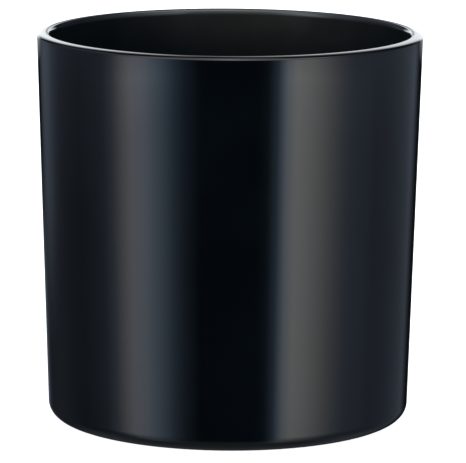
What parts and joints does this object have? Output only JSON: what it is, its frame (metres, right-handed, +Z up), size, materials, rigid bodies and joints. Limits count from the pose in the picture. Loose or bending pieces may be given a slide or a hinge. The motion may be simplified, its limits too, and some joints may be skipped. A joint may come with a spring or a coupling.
{
  "type": "candle jar",
  "caption": "Empty straight candle jar: slightly tapered glass tumbler with a softly domed rim and a heavy base, gloss black lacquer over its outside.",
  "frame": {"origin": "centre of the base, on the surface that the jar stands on", "axes": "+Z up along the jar's axis, towards its open rim; the jar is round, so +X and +Y are any two directions across it"},
  "size_m": [0.089, 0.089, 0.09],
  "materials": {
    "tumbler_glass": "fire-polished soda-lime glass that reads as glossy neutral black, because the lacquer lies behind it",
    "gloss_black_lacquer": "sprayed gloss black lacquer, mirror smooth, very slightly blue"
  },
  "bodies": {
    "root": {"glass_tumbler": "tumbler_glass", "wall_lacquer": "gloss_black_lacquer", "base_lacquer": "gloss_black_lacquer"}
  },
  "joints": []
}
